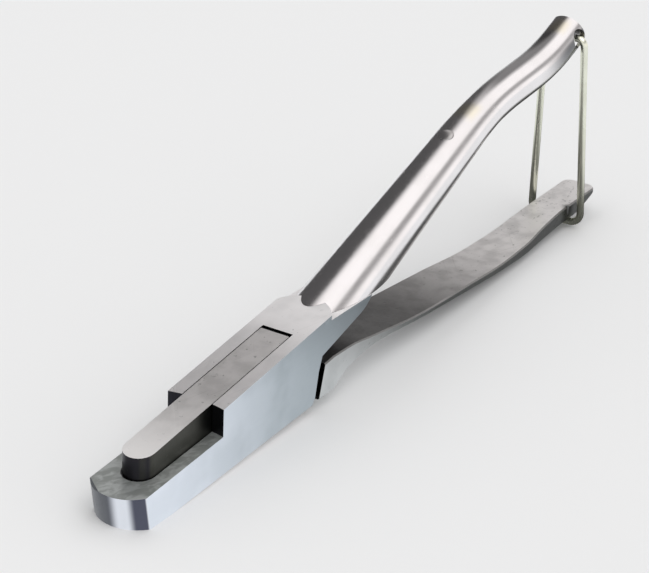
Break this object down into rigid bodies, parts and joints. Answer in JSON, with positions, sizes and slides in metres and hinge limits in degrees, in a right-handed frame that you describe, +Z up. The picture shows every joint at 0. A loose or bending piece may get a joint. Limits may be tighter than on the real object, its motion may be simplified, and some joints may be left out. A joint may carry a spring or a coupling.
{
  "type": "livestock ear notcher",
  "caption": "Hand-operated livestock ear notcher: a punch lever closes into a U-shaped die slot, with a hollow upper handle and a wire bail that holds the handles shut.",
  "frame": {"origin": "On the ground under the nose plate, in the tool's middle plane.", "axes": "+X runs from the nose to the handles' ends, +Z is up, and +Y is the far side in the picture."},
  "size_m": [0.2848, 0.0222, 0.0801],
  "materials": {
    "die_body": "fine ground steel, scratched, plated sides",
    "punch_lever": "satin forged steel with small hammer marks",
    "upper_handle": "polished nickel-plated steel",
    "pivot_pin": "ground flush",
    "leaf_spring": "blued spring steel",
    "spring_rivet": "polished flush",
    "lock_bail": "drawn wire, slightly yellowed zinc"
  },
  "bodies": {
    "body": {"die_body": "die_body", "upper_handle": "upper_handle", "pivot_pin": "pivot_pin", "spring_rivet": "spring_rivet"},
    "lever": {"punch_lever": "punch_lever"},
    "spring": {"leaf_spring": "leaf_spring"},
    "bail": {"lock_bail": "lock_bail"}
  },
  "joints": [
    {"name": "punch_pivot", "type": "hinge", "parent": "body", "child": "lever", "pos_m": [0.062, 0, 0.0131], "axis": [0, 1, 0], "range_deg": [0, 6.75]},
    {"name": "bail_swing", "type": "hinge", "parent": "body", "child": "bail", "pos_m": [0.2572, 0, 0.0729], "axis": [0, -1, 0], "range_deg": [0, 270]},
    {"name": "spring_flex", "type": "hinge", "parent": "body", "child": "spring", "pos_m": [0.17795, 0, 0.05774], "axis": [0, -1, 0], "range_deg": [0, 4.05]}
  ],
  "couplings": [
    {"joint": "bail_swing", "follows": "punch_pivot", "ratio": 40},
    {"joint": "spring_flex", "follows": "punch_pivot", "ratio": 0.6}
  ]
}
